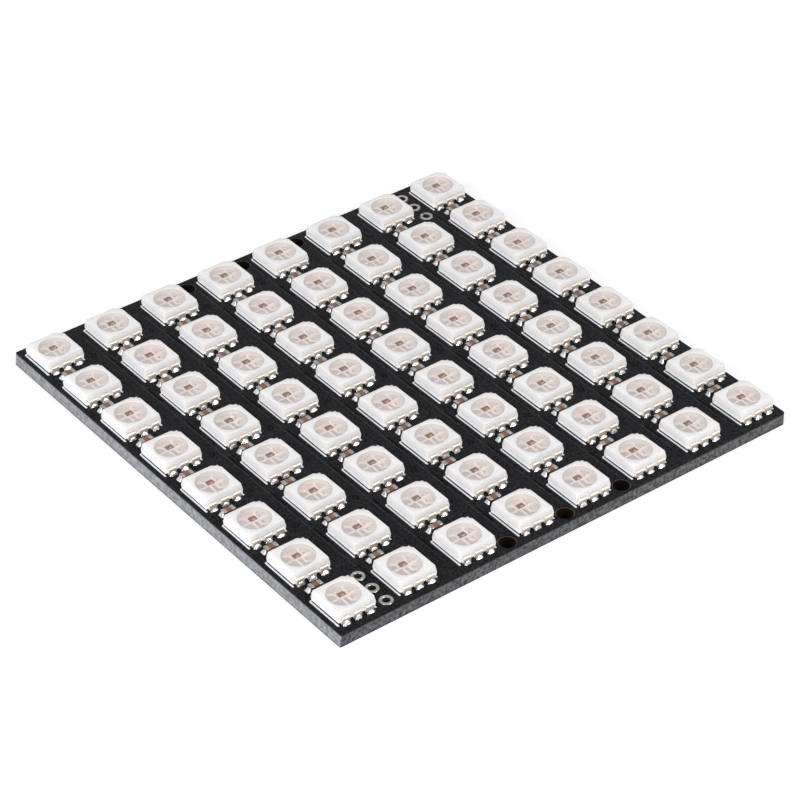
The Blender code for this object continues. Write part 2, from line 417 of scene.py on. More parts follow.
def add_piece(name, mesh, finish=None, replaced=()):
    """Puts a mesh in the scene, riding with the panel. Without a finish it keeps its own."""
    if finish:
        mesh.materials.clear()
        mesh.materials.append(finish)
    mesh.shade_smooth()
    mesh.set_sharp_from_angle(angle=FLAT_ANGLE)
    piece = put_in_scene(name, mesh)
    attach(piece, "root")
    if replaced:
        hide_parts(*replaced)


def add_row_piece(name, row, template, places, finish):
    """A row's copies of one template, as one piece."""
    name = f"{name}_row{row + 1}"
    add_piece(name, copies_mesh(name, template, places), finish)


# Effects that several finishes share

NUMBER = "NodeSocketFloat"
COLOR = "NodeSocketColor"


def feed(tree, socket, value):
    """Gives a socket a value, or a link where the value is another node's socket."""
    if isinstance(value, bpy.types.NodeSocket):
        tree.links.new(value, socket)
    else:
        socket.default_value = value


def add_noise(tree, scale, detail):
    place = tree.nodes.new("ShaderNodeTexCoord")
    noise = tree.nodes.new("ShaderNodeTexNoise")
    tree.links.new(place.outputs["Object"], noise.inputs["Vector"])
    feed(tree, noise.inputs["Scale"], scale)
    feed(tree, noise.inputs["Detail"], detail)
    return noise.outputs["Fac"]


def add_math(tree, operation, *values):
    node = tree.nodes.new("ShaderNodeMath")
    node.operation = operation
    for socket, value in zip(node.inputs, values):
        feed(tree, socket, value)
    return node.outputs[0]


def add_range(tree, value, from_range, to_range):
    """Maps a value from one range to another, and holds it at the ends."""
    node = tree.nodes.new("ShaderNodeMapRange")
    labels = ("From Min", "From Max", "To Min", "To Max")
    for label, limit in zip(labels, (*from_range, *to_range)):
        feed(tree, node.inputs[label], limit)
    tree.links.new(value, node.inputs["Value"])
    return node.outputs["Result"]


def add_blend(tree, share, first, second):
    """A blend of two colours, all the second where the share is 1."""
    mix = tree.nodes.new("ShaderNodeMix")
    mix.data_type = "RGBA"
    tree.links.new(share, mix.inputs["Factor"])
    feed(tree, mix.inputs["A"], first)
    feed(tree, mix.inputs["B"], second)
    return mix.outputs["Result"]


def add_height(tree):
    """How high a point lies over the board's underside."""
    place = tree.nodes.new("ShaderNodeTexCoord")
    parts = tree.nodes.new("ShaderNodeSeparateXYZ")
    tree.links.new(place.outputs["Object"], parts.inputs["Vector"])
    return parts.outputs["Z"]


def effect_group(name, values, output, output_kind):
    """A node group with an input for each value, and one output."""
    group = bpy.data.node_groups.new(name, "ShaderNodeTree")
    for label, value in values.items():
        kind = COLOR if isinstance(value, tuple) else NUMBER
        socket = group.interface.new_socket(name=label, in_out="INPUT", socket_type=kind)
        socket.default_value = value
    group.interface.new_socket(name=output, in_out="OUTPUT", socket_type=output_kind)
    start = group.nodes.new("NodeGroupInput").outputs
    end = group.nodes.new("NodeGroupOutput").inputs
    return group, start, end


def uneven_tone_group():
    """Two colours that drift into each other over the surface."""
    values = {"Light": (1, 1, 1, 1), "Dark": (0, 0, 0, 1), "Scale": 500.0, "Spread": 0.2}
    group, start, end = effect_group("uneven tone", values, "Color", COLOR)
    noise = add_noise(group, start["Scale"], 4.0)
    low = add_math(group, "SUBTRACT", 0.5, start["Spread"])
    high = add_math(group, "ADD", 0.5, start["Spread"])
    share = add_range(group, noise, (low, high), (0.0, 1.0))
    group.links.new(add_blend(group, share, start["Dark"], start["Light"]), end["Color"])
    return group


def uneven_polish_group():
    """A roughness that drifts between two values."""
    values = {"Smooth": 0.2, "Dull": 0.5, "Scale": 1500.0}
    group, start, end = effect_group("uneven polish", values, "Roughness", NUMBER)
    noise = add_noise(group, start["Scale"], 3.0)
    polish = add_range(group, noise, (0.3, 0.7), (start["Smooth"], start["Dull"]))
    group.links.new(polish, end["Roughness"])
    return group


def grain_group():
    """The height of a fine grain."""
    group, start, end = effect_group("fine grain", {"Scale": 5000.0}, "Height", NUMBER)
    group.links.new(add_noise(group, start["Scale"], 2.0), end["Height"])
    return group


UNEVEN_TONE = uneven_tone_group()
UNEVEN_POLISH = uneven_polish_group()
FINE_GRAIN = grain_group()


def place_group(tree, group, values):
    node = tree.nodes.new("ShaderNodeGroup")
    node.node_tree = group
    for label, value in values.items():
        node.inputs[label].default_value = value
    return node


def add_tone(tree, light, dark, scale, spread):
    values = {"Light": (*light, 1), "Dark": (*dark, 1), "Scale": scale, "Spread": spread}
    return place_group(tree, UNEVEN_TONE, values).outputs["Color"]


def add_polish(tree, shader, smooth, dull, scale):
    values = {"Smooth": smooth, "Dull": dull, "Scale": scale}
    node = place_group(tree, UNEVEN_POLISH, values)
    tree.links.new(node.outputs["Roughness"], shader.inputs["Roughness"])


def add_grain(tree, shader, scale, depth):
    node = place_group(tree, FINE_GRAIN, {"Scale": scale})
    bump = tree.nodes.new("ShaderNodeBump")
    bump.inputs["Distance"].default_value = depth
    tree.links.new(node.outputs["Height"], bump.inputs["Height"])
    tree.links.new(bump.outputs["Normal"], shader.inputs["Normal"])


def new_finish(name):
    finish = bpy.data.materials.new(name)
    finish.use_nodes = True
    return finish, finish.node_tree, finish.node_tree.nodes["Principled BSDF"]


def simple_finish(name, light, dark, scale, polish, grain, metallic=0.0, specular=0.5, glow=0.0):
    """A finish of two drifting tones, an uneven polish and a fine grain."""
    finish, tree, shader = new_finish(name)
    color = add_tone(tree, light, dark, scale, 0.2)
    tree.links.new(color, shader.inputs["Base Color"])
    add_polish(tree, shader, *polish)
    add_grain(tree, shader, *grain)
    shader.inputs["Metallic"].default_value = metallic
    shader.inputs["Specular IOR Level"].default_value = specular
    if glow:
        tree.links.new(color, shader.inputs["Emission Color"])
        shader.inputs["Emission Strength"].default_value = glow
    return finish


# Finishes, with a polish as (smooth, dull, scale) and a grain as (scale, depth)

def speckled_mask(name, light, middle, dark, specular):
    """Solder mask with slow drifts of tone and small dark specks."""
    finish, tree, shader = new_finish(name)
    drift = add_tone(tree, light, middle, 600.0, 0.2)
    specks = place_group(tree, UNEVEN_TONE, {"Dark": (*dark, 1), "Scale": 4200.0, "Spread": 0.13})
    tree.links.new(drift, specks.inputs["Light"])
    tree.links.new(specks.outputs["Color"], shader.inputs["Base Color"])
    add_polish(tree, shader, 0.34, 0.5, 2500.0)
    add_grain(tree, shader, 6000.0, 0.004 * MM)
    shader.inputs["Specular IOR Level"].default_value = specular
    return finish


def laminate_finish():
    """Cut glass cloth in resin: mottled grey, with painted shade on the faces in front and behind,
    and a dark band along the top that is partly the edge's own brown line and partly painted
    shade.
    """
    finish, tree, shader = new_finish("cut laminate")
    side = add_tone(tree, (0.35, 0.37, 0.395), (0.19, 0.203, 0.222), 2400.0, 0.14)
    end = add_tone(tree, (0.13, 0.137, 0.15), (0.017, 0.018, 0.023), 2400.0, 0.13)
    # Painted shade: faces towards the front and back get the darker tones, for how the light falls
    # on them
    surface = tree.nodes.new("ShaderNodeNewGeometry")
    parts = tree.nodes.new("ShaderNodeSeparateXYZ")
    tree.links.new(surface.outputs["Normal"], parts.inputs["Vector"])
    facing = add_math(tree, "ABSOLUTE", parts.outputs["Y"])
    tones = add_blend(tree, facing, side, end)
    flecks = add_range(tree, add_noise(tree, 5200.0, 2.0), (0.58, 0.68), (0.0, 0.5))
    flecked = add_blend(tree, flecks, tones, (0.09, 0.09, 0.1, 1))
    # A dark brown band under the mask: partly the edge's own line, partly painted shade
    top = BOARD_THICKNESS - MASK_THICKNESS
    line_heights = (top - EDGE_LINE_FOOT, top - EDGE_LINE_TOP)
    line = add_range(tree, add_height(tree), line_heights, (0.0, 0.8))
    lined = add_blend(tree, line, flecked, (0.043, 0.035, 0.027, 1))
    tree.links.new(lined, shader.inputs["Base Color"])
    add_polish(tree, shader, 0.55, 0.85, 3000.0)
    add_grain(tree, shader, 3500.0, 0.03 * MM)
    return finish


def housing_finish():
    """White moulded plastic with light scattering inside it, and painted light: a glow that
    brightens its lower half.
    """
    finish = simple_finish(
        "white moulded plastic",
        light=(0.86, 0.838, 0.843),
        dark=(0.82, 0.798, 0.803),
        scale=450.0,
        polish=(0.38, 0.52, 2500.0),
        grain=(9000.0, 0.004 * MM),
    )
    tree = finish.node_tree
    shader = tree.nodes["Principled BSDF"]
    shader.inputs["Subsurface Weight"].default_value = 1.0
    shader.inputs["Subsurface Radius"].default_value = (1, 1, 1)
    shader.inputs["Subsurface Scale"].default_value = 1.2 * MM
    # Painted light: a glow that fades from the foot up to just over the parting line
    heights = (BOARD_THICKNESS + STANDOFF, BOARD_THICKNESS + PAINTED_GLOW_END)
    glow = add_range(tree, add_height(tree), heights, (PAINTED_GLOW_AT_FOOT, 0.0))
    tree.links.new(glow, shader.inputs["Emission Color"])
    shader.inputs["Emission Strength"].default_value = 1.0
    return finish


def resin_finish():
    """Clear filling with a faint milky veil."""
    finish, tree, shader = new_finish("clear resin")
    color = add_tone(tree, (0.86, 0.80, 0.78), (0.80, 0.73, 0.71), 350.0, 0.25)
    tree.links.new(color, shader.inputs["Base Color"])
    add_polish(tree, shader, 0.08, 0.16, 1200.0)
    add_grain(tree, shader, 1500.0, 0.002 * MM)
    shader.inputs["Alpha"].default_value = 0.16
    return finish


def plastic_under_resin(name, light, dark, glow=0.0):
    return simple_finish(
        name, light, dark, 450.0, (0.5, 0.7, 2500.0), (9000.0, 0.002 * MM), glow=glow
    )


def silvered_island(name, light, dark):
    return simple_finish(
        name, light, dark, 700.0, (0.32, 0.5, 1500.0), (2500.0, 0.001 * MM), metallic=0.85
    )


def glassy_chip(name, light, dark, specular=0.05):
    return simple_finish(
        name, light, dark, 2500.0, (0.25, 0.4, 3000.0), (5000.0, 0.001 * MM), specular=specular
    )


MASK = speckled_mask(
    "black solder mask",
    light=(0.025, 0.025, 0.029),
    middle=(0.0145, 0.0145, 0.0175),
    dark=(0.001, 0.001, 0.002),
    specular=0.06,
)
MASK_OVER_TRACK = speckled_mask(
    "black solder mask over a track",
    light=(0.042, 0.042, 0.044),
    middle=(0.028, 0.028, 0.030),
    dark=(0.008, 0.008, 0.01),
    specular=0.08,
)
MASK_IN_DITCH = speckled_mask(
    "black solder mask between tracks",
    light=(0.006, 0.006, 0.008),
    middle=(0.003, 0.003, 0.004),
    dark=(0.001, 0.001, 0.001),
    specular=0.02,
)
LAMINATE = laminate_finish()
# Painted shade: the walls of the drilled holes are painted nearly black brown for the shade inside
# them
DRILLED = simple_finish(
    "drilled laminate",
    light=(0.022, 0.011, 0.005),
    dark=(0.006, 0.003, 0.002),
    scale=1500.0,
    polish=(0.5, 0.8, 3000.0),
    grain=(4000.0, 0.02 * MM),
    specular=0.05,
)
HOUSING = housing_finish()
WINDOW = plastic_under_resin(
    "moulded plastic under resin", light=(0.70, 0.655, 0.64), dark=(0.64, 0.595, 0.58)
)
# Painted light: the plastic on the window's floor is painted lighter than the wall and the
# housing, with a faint glow, to lift the shade inside the window
WINDOW_FLOOR = plastic_under_resin(
    "moulded plastic between the islands",
    light=(0.95, 0.91, 0.89),
    dark=(0.90, 0.86, 0.84),
    glow=0.08,
)
RESIN = resin_finish()
# Lit and shaded copies of one silver: the darker copy paints the shade that the window's rim casts
# on the left and front islands
SHADED_SILVER = silvered_island(
    "silvered island in painted shade", light=(0.65, 0.58, 0.585), dark=(0.51, 0.44, 0.435)
)
LIT_SILVER = silvered_island(
    "lit silvered island", light=(0.81, 0.735, 0.71), dark=(0.73, 0.65, 0.615)
)
CHIP = simple_finish(
    "chip silicon",
    light=(0.24, 0.115, 0.065),
    dark=(0.13, 0.058, 0.034),
    scale=2500.0,
    polish=(0.3, 0.45, 3000.0),
    grain=(5000.0, 0.001 * MM),
    specular=0.05,
)
CHIP_LOGIC = glassy_chip(
    "chip wiring in red copper", light=(0.25, 0.092, 0.033), dark=(0.15, 0.052, 0.018)
)
# Partly the chip's wiring, partly painted light: the copper field paints a reflection, the pale
# one in front a highlight
CHIP_DRIVERS_AND_REFLECTION = glassy_chip(
    "chip wiring in copper with painted reflection", light=(0.33, 0.13, 0.042), dark=(0.24, 0.088, 0.024)
)
CHIP_PADS_AND_HIGHLIGHT = glassy_chip(
    "chip wiring in pale copper with painted highlight", light=(0.82, 0.60, 0.38), dark=(0.72, 0.48, 0.24)
)
DIE = glassy_chip(
    "light-emitting die", light=(0.72, 0.57, 0.46), dark=(0.62, 0.46, 0.35), specular=0.3
)
GOLD = simple_finish(
    "gold wire",
    light=(0.60, 0.47, 0.34),
    dark=(0.50, 0.38, 0.26),
    scale=2000.0,
    polish=(0.18, 0.3, 3000.0),
    grain=(9000.0, 0.001 * MM),
    metallic=1.0,
)
TIN = simple_finish(
    "tinned lead",
    light=(0.84, 0.75, 0.65),
    dark=(0.72, 0.63, 0.54),
    scale=1200.0,
    polish=(0.34, 0.5, 3000.0),
    grain=(5000.0, 0.003 * MM),
    metallic=0.6,
)
PLATING = simple_finish(
    "dull plating",
    light=(0.46, 0.45, 0.45),
    dark=(0.28, 0.27, 0.27),
    scale=1800.0,
    polish=(0.2, 0.35, 3000.0),
    grain=(4000.0, 0.004 * MM),
    metallic=1.0,
)
# Painted shade: the plating inside the header holes is painted dark brown for the shade in them
BARREL = simple_finish(
    "hole plating in painted shade",
    light=(0.14, 0.095, 0.06),
    dark=(0.05, 0.035, 0.025),
    scale=2000.0,
    polish=(0.4, 0.6, 3000.0),
    grain=(4000.0, 0.01 * MM),
    metallic=0.5,
    specular=0.2,
)
SOLDER = simple_finish(
    "solder",
    light=(0.82, 0.805, 0.84),
    dark=(0.46, 0.44, 0.45),
    scale=2200.0,
    polish=(0.12, 0.26, 3500.0),
    grain=(3500.0, 0.008 * MM),
    metallic=0.8,
)
CERAMIC = simple_finish(
    "capacitor ceramic",
    light=(0.26, 0.115, 0.060),
    dark=(0.17, 0.072, 0.037),
    scale=1600.0,
    polish=(0.4, 0.6, 3000.0),
    grain=(8000.0, 0.004 * MM),
)
PRINT = simple_finish(
    "white print",
    light=(0.86, 0.89, 0.96),
    dark=(0.74, 0.77, 0.85),
    scale=2500.0,
    polish=(0.5, 0.7, 3000.0),
    grain=(6000.0, 0.006 * MM),
)


# Board

def board_outline():
    """The board's outline, where each corner has its own radius."""
    corners = (
        (-1, -1, FRONT_LEFT_CORNER, 180),
        (1, -1, FRONT_RIGHT_CORNER, 270),
        (1, 1, BACK_RIGHT_CORNER, 0),
        (-1, 1, BACK_LEFT_CORNER, 90),
    )
    outline = []
    for side_x, side_y, radius, start in corners:
        x = side_x * (BOARD_LENGTH / 2 - radius)
        y = side_y * (BOARD_DEPTH / 2 - radius)
        outline += arc((x, y), radius, start, start + 90, CORNER_STEPS)
    return outline


def board_layer(name, low, high, hole_sets):
    """A board-shaped layer with sets of round holes, as (places, radius, sides, finish).

    The board's left side leans out towards its foot.
    """
    blank = prism_mesh(name, board_outline(), low, high)
    for vertex in blank.vertices:
        if vertex.co.x < 0:
            vertex.co.x -= LEFT_LEAN * (1 - vertex.co.z / BOARD_THICKNESS)
    cuts = []
    for places, radius, sides, finish in hole_sets:
        drills = bmesh.new()
        for place in places:
            add_cylinder(drills, sides, radius, radius, low - MM, high + MM, place)
        drill_mesh = mesh_from(f"{name} drills", drills)
        if finish:
            drill_mesh.materials.append(finish)
        cuts.append((drill_mesh, "DIFFERENCE"))
    return blank, cuts


def add_laminate():
    hole_sets = [
        (mounting_hole_places(), MOUNTING_HOLE_RADIUS, MOUNTING_HOLE_SIDES, DRILLED),
        (header_hole_places(), HEADER_RADIUS + BARREL_WALL, BARREL_SIDES, DRILLED),
    ]
    top = BOARD_THICKNESS - MASK_THICKNESS
    blank, cuts = board_layer("laminate", MASK_THICKNESS, top, hole_sets)
    blank.materials.append(LAMINATE)
    mesh = shaped("laminate", blank, cuts)
    add_piece("board_laminate", mesh, replaced=["circuit_board"])


def add_mask(name, low, high, clearance):
    hole_sets = [
        (mounting_hole_places(), MOUNTING_HOLE_RADIUS + clearance, MOUNTING_HOLE_SIDES, None),
        (header_hole_places(), HEADER_RING + MASK_CLEARANCE, RING_SIDES, None),
    ]
    blank, cuts = board_layer(name, low, high, hole_sets)
    add_piece(name, shaped(name, blank, cuts), MASK)


def rail_stretch(column):
    """How far the copper rail left of a column runs: it stops short of the header holes."""
    low, high = -RAIL_END, RAIL_END
    if column == 1:
        low = -HEADER_CLEAR
    if column == COLUMNS - 1:
        high = HEADER_CLEAR
    return low, high


def strips_mesh(name, side, width, height):
    """A raised strip beside each column but the first, from front to back."""
    shape = bmesh.new()
    z = BOARD_THICKNESS + height / 2
    for column in range(1, COLUMNS):
        low, high = rail_stretch(column)
        centre = Vector((package_place(0, column).x + side, (low + high) / 2, z))
        add_box(shape, (width, high - low, height), centre)
    return shaped(name, mesh_from(name, shape), edge=height / 2)


def ditches_mesh():
    """A short dark ditch behind and left of each package."""
    ditch = bmesh.new()
    size = (DITCH_WIDTH, DITCH_BACK - DITCH_FRONT, DITCH_HEIGHT)
    add_box(ditch, size, Vector((0, 0, DITCH_HEIGHT / 2)))
    offset = (DITCH_SIDE, (DITCH_BACK + DITCH_FRONT) / 2)
    places = moves_to_packages(range(ROWS - 1), range(1, COLUMNS), offset)
    return copies_mesh("ditches", mesh_from("ditch", ditch), places)


def via_rings_mesh(places):
    profile = [
        (VIA_DRILL, 0.0),
        (VIA_RADIUS, 0.0),
        (VIA_RADIUS - VIA_SLOPE, COPPER_HEIGHT),
        (VIA_DRILL + VIA_SLOPE, COPPER_HEIGHT),
    ]
    return copies_mesh("via rings", turned_mesh("via", profile, VIA_SIDES), places)


def via_drills_mesh(places):
    """The dark filled middle of each covered via."""
    spot = bmesh.new()
    add_cylinder(spot, VIA_DRILL_SIDES, VIA_DRILL, VIA_DRILL, 0.0, DITCH_HEIGHT)
    return copies_mesh("via drills", mesh_from("via drill", spot), places)


def add_copper_relief():
    """Rails, tracks, the ditches beside them and covered vias, all under the mask."""
    rails = strips_mesh("rails", RAIL_SIDE, RAIL_WIDTH, COPPER_HEIGHT)
    tracks = strips_mesh("tracks", TRACK_SIDE, TRACK_WIDTH, COPPER_HEIGHT / 2)
    vias = moves_to_packages(VIA_ROWS, range(COLUMNS - 1), VIA_PLACE)
    for name, mesh, finish in (
        ("mask_over_rails", rails, MASK),
        ("mask_over_vias", via_rings_mesh(vias), MASK),
        ("mask_over_tracks", tracks, MASK_OVER_TRACK),
        ("mask_between_tracks", ditches_mesh(), MASK_IN_DITCH),
        ("mask_in_vias", via_drills_mesh(vias), MASK_IN_DITCH),
    ):
        add_piece(name, mesh, finish)


def square_profile(inner, outer, low, high):
    return [(inner, low), (outer, low), (outer, high), (inner, high)]


def add_header_rings():
    """A plated ring at both ends of each header hole, and the barrel between them."""
    high = BOARD_THICKNESS + COPPER_HEIGHT
    low = BOARD_THICKNESS - MASK_THICKNESS
    top = [
        (HEADER_RADIUS, low),
        (HEADER_RING, low),
        (HEADER_RING, high - RING_CROWN),
        (HEADER_RING - RING_CROWN, high),
        (HEADER_RADIUS + RING_CROWN, high),
        (HEADER_RADIUS, high - RING_CROWN),
    ]
    back = square_profile(HEADER_RADIUS, HEADER_RING, 0.0, MASK_THICKNESS)
    wall = HEADER_RADIUS + BARREL_WALL
    barrel = square_profile(HEADER_RADIUS, wall, MASK_THICKNESS, low)
    places = [Matrix.Translation((x, y, 0)) for x, y in header_hole_places()]
    for name, profile, finish in (
        ("header_rings_top", top, PLATING),
        ("header_rings_back", back, PLATING),
        ("header_barrels", barrel, BARREL),
    ):
        ring = turned_mesh(name, profile, RING_SIDES)
        add_piece(name, copies_mesh(name, ring, places), finish)


def mark_template():
    """A white line along a package's left side, hooked under it at the back."""
    left = MARK_SIDE - MARK_WIDTH / 2
    right = MARK_SIDE + MARK_WIDTH / 2
    hook = left + MARK_HOOK
    corner = MARK_WIDTH
    outline = [
        (left, MARK_FRONT + MARK_WIDTH / 4),
        (left + MARK_WIDTH / 4, MARK_FRONT),
        (right, MARK_FRONT),
        (right, MARK_BACK - MARK_WIDTH),
        (hook, MARK_BACK - MARK_WIDTH / 2),
        (hook, MARK_BACK),
        *arc((left + corner, MARK_BACK - corner), corner, 90, 180, MARK_STEPS),
    ]
    return prism_mesh("package mark", outline, 0.0, MARK_HEIGHT)


def add_marks():
    """The lines along both sides of every package."""
    left = mark_template()
    right = left.copy()
    right.transform(Matrix.Scale(-1, 4, (1, 0, 0)))
    right.flip_normals()
    pair = bmesh.new()
    pair.from_mesh(left)
    pair.from_mesh(right)
    places = moves_to_packages(range(ROWS), range(COLUMNS))
    mesh = copies_mesh("package marks", mesh_from("pair of marks", pair), places)
    add_piece("package_marks", mesh, PRINT)


# LED package

def is_upright(edge):
    along = edge.verts[1].co - edge.verts[0].co
    return abs(along.z) > along.xy.length


def draw_in(shape, height, inset):
    """Moves the corners at one height in towards the axis."""
    for vertex in shape.verts:
        if abs(vertex.co.z - height) < SAME_PLACE:
            vertex.co.x -= math.copysign(inset, vertex.co.x)
            vertex.co.y -= math.copysign(inset, vertex.co.y)


def housing_template():
    """The moulded body with its round window and the notch at its back right corner."""
    shape = bmesh.new()
    height = PACKAGE_HEIGHT - STANDOFF
    add_box(shape, (PACKAGE_WIDTH, PACKAGE_WIDTH, height), Vector((0, 0, STANDOFF + height / 2)))
    upright = [edge for edge in shape.edges if is_upright(edge)]
    bmesh.ops.bevel(
        shape,
        geom=upright,
        offset=HOUSING_CORNER,
        segments=HOUSING_CORNER_STEPS,
        profile=0.5,
        affect="EDGES",
    )
    bmesh.ops.bisect_plane(
        shape,
        geom=shape.verts[:] + shape.edges[:] + shape.faces[:],
        plane_co=(0, 0, PARTING),
        plane_no=(0, 0, 1),
    )
    draw_in(shape, PACKAGE_HEIGHT, UPPER_TAPER)
    draw_in(shape, STANDOFF, LOWER_TAPER)
    body = mesh_from("housing", shape)
    body.materials.append(HOUSING)

    window = bmesh.new()
    add_cylinder(
        window,
        WINDOW_SIDES,
        FLOOR_RADIUS,
        WINDOW_RADIUS + WINDOW_SLOPE * CUT_CLEAR,
        WINDOW_BOTTOM,
        PACKAGE_HEIGHT + CUT_CLEAR,
        WINDOW_PLACE,
    )
    notch = bmesh.new()
    corner = PACKAGE_WIDTH / 2 - UPPER_TAPER
    size = 2 * NOTCH_LEG
    outward = corner + (size / 2 - NOTCH_LEG / math.sqrt(2)) / math.sqrt(2)
    low = PACKAGE_HEIGHT - NOTCH_DEPTH
    height = NOTCH_DEPTH + CUT_CLEAR
    place = Vector((outward, outward, low + height / 2))
    add_box(notch, (size, size, height), place, math.radians(45))
    window_mesh = mesh_from("window", window)
    window_mesh.materials.append(WINDOW)
    window_mesh.materials.append(WINDOW_FLOOR)
    # The cutter's low end makes the window's floor
    for face in window_mesh.polygons:
        face.material_index = int(face.normal.z < -0.5)
    notch_mesh = mesh_from("notch", notch)
    notch_mesh.materials.append(HOUSING)
    cuts = [(window_mesh, "DIFFERENCE"), (notch_mesh, "DIFFERENCE")]
    return shaped("housing", body, cuts, HOUSING_EDGE)


def resin_template():
    """The filling of the window, with a sunken middle where it has shrunk."""
    floor = WINDOW_BOTTOM + RESIN_GAP
    top = PACKAGE_HEIGHT - RESIN_SINK
    low_radius = FLOOR_RADIUS - RESIN_GAP
    high_radius = low_radius + WINDOW_SLOPE * (top - floor)
    profile = [(0, floor), (low_radius, floor), (high_radius, top)]
    for ring in range(1, RESIN_RINGS + 1):
        share = 1 - ring / RESIN_RINGS
        profile.append((high_radius * share, top - MENISCUS * (1 - share**4)))
    filling = turned_mesh("resin", profile, WINDOW_SIDES, closed=False)
    filling.transform(Matrix.Translation((*WINDOW_PLACE, 0)))
    return filling


def frame_gap(start, end):
    """The cut for a strip of plastic between two islands, from one point to another."""
    start = Vector(start) * MM
    end = Vector(end) * MM
    run = end - start
    centre = Vector((*(start + end) / 2, WINDOW_BOTTOM))
    size = (run.length + FRAME_GAP, FRAME_GAP, 4 * FRAME_EDGE)
    shape = bmesh.new()
    add_box(shape, size, centre, math.atan2(run.y, run.x))
    return mesh_from("frame gap", shape), "DIFFERENCE"


def linked_faces(first):
    """A face and all the faces that hang together with it."""
    found = {first}
    waiting = [first]
    while waiting:
        for edge in waiting.pop().edges:
            for face in edge.link_faces:
                if face not in found:
                    found.add(face)
                    waiting.append(face)
    return found


def is_shaded_island(middle):
    """Painted shade: the left islands and the narrow one in front lie in the rim's shade and get
    the darker silver.
    """
    in_front = middle.y < FRAME_SPLIT
    return middle.x < SHADED_SIDE or (in_front and middle.x < SHADED_FRONT_SIDE)


def lead_frame_template():
    """The silvered islands on the window's floor, the ones in painted shade in the second finish.
    """
    radius = FLOOR_RADIUS - FRAME_EDGE
    low = WINDOW_BOTTOM - FRAME_EDGE
    disc = bmesh.new()
    add_cylinder(disc, WINDOW_SIDES, radius, radius, low, FRAME_TOP, WINDOW_PLACE)
    split = FRAME_SPLIT / MM
    cuts = [
        frame_gap((-2.2, split - 0.02), (2.2, split + 0.05)),
        frame_gap((-0.36, split), (-0.42, -2.2)),
        frame_gap((0.3, split), (0.34, -1.05)),
        frame_gap((0.34, -1.05), (1.3, -1.7)),
        frame_gap((-0.6, split), (-0.61, 0.66)),
        frame_gap((-0.61, 0.66), (-1.6, 1.3)),
        frame_gap((-0.61, 0.72), (-1.4, 1.7)),
        frame_gap((0.58, split), (0.62, 0.7)),
        frame_gap((0.62, 0.7), (1.1, 2.1)),
    ]
    plates = shaped("lead frame", mesh_from("lead frame", disc), cuts, ISLAND_EDGE, 1)
    shape = bmesh.new()
    shape.from_mesh(plates)
    left = set(shape.faces)
    while left:
        island = linked_faces(next(iter(left)))
        left -= island
        middle = sum((face.calc_center_median() for face in island), Vector()) / len(island)
        for face in island:
            face.material_index = int(is_shaded_island(middle))
    islands = mesh_from("lead frame", shape)
    islands.materials.append(LIT_SILVER)
    islands.materials.append(SHADED_SILVER)
    return islands


def chip_template():
    middle = Vector((CHIP_PLACE.x, CHIP_PLACE.y, FRAME_TOP + CHIP_SIZE.z / 2))
    shape = bmesh.new()
    add_box(shape, CHIP_SIZE, middle)
    return shaped("driver chip", mesh_from("driver chip", shape), edge=CHIP_EDGE)


def chip_field_template(field):
    x, y, width, depth, layers = field
    centre = Vector((CHIP_PLACE.x + x * MM, CHIP_PLACE.y + y * MM, FRAME_TOP + CHIP_SIZE.z))
    shape = bmesh.new()
    add_box(shape, (width * MM, depth * MM, 2 * layers * CHIP_LAYER), centre)
    return mesh_from("chip field", shape)


def dies_template():
    """The red, green and blue light-emitting dies."""
    shape = bmesh.new()
    for place in DIE_PLACES:
        add_box(shape, DIE_SIZE, Vector((place.x, place.y, FRAME_TOP + DIE_SIZE.z / 2)))
    return shaped("dies", mesh_from("dies", shape), edge=DIE_EDGE, edge_steps=1)


def wire_points(start, end):
    """A bond wire's line: up from its start, over, and down to its end."""
    points = []
    for step in range(WIRE_STEPS + 1):
        share = step / WIRE_STEPS
        point = start.lerp(end, share)
        arch = math.sin(math.pi * share) ** WIRE_ROUNDNESS
        point.z += WIRE_RISE * arch * (1 - WIRE_DROOP * share)
        points.append(point)
    return points


def wires_template():
    """Bond wires from the chip to the islands and the dies."""
    chip_top = FRAME_TOP + CHIP_SIZE.z
    die_top = FRAME_TOP + DIE_SIZE.z
    reach = (CHIP_SIZE.xy - Vector((WIRE_INSET, WIRE_INSET)) * 2) / 2
    left, front = CHIP_PLACE - reach
    right, back = CHIP_PLACE + reach
    stem_die, side_die, front_die = [(place.x, place.y, die_top) for place in DIE_PLACES]
    runs = [
        ((left, back, chip_top), (-1.1 * MM, 0.75 * MM, FRAME_TOP)),
        ((left, CHIP_PLACE.y, chip_top), (-0.95 * MM, -0.35 * MM, FRAME_TOP)),
        ((left, front, chip_top), (-0.1 * MM, -0.75 * MM, FRAME_TOP)),
        ((CHIP_PLACE.x, front, chip_top), stem_die),
        ((right, front, chip_top), front_die),
        ((right, CHIP_PLACE.y, chip_top), side_die),
        ((right, back, chip_top), (1.0 * MM, 1.0 * MM, FRAME_TOP)),
        (front_die, (1.2 * MM, -0.75 * MM, FRAME_TOP)),
    ]
    curve = bpy.data.curves.new("bond wires", "CURVE")
    curve.dimensions = "3D"
    curve.bevel_depth = WIRE_RADIUS
    curve.bevel_resolution = 0
    curve.use_fill_caps = True
    for start, end in runs:
        points = wire_points(Vector(start), Vector(end))
        spline = curve.splines.new("POLY")
        spline.points.add(len(points) - 1)
        for target, point in zip(spline.points, points):
            target.co = (*point, 1)
    return shaped("bond wires", curve)


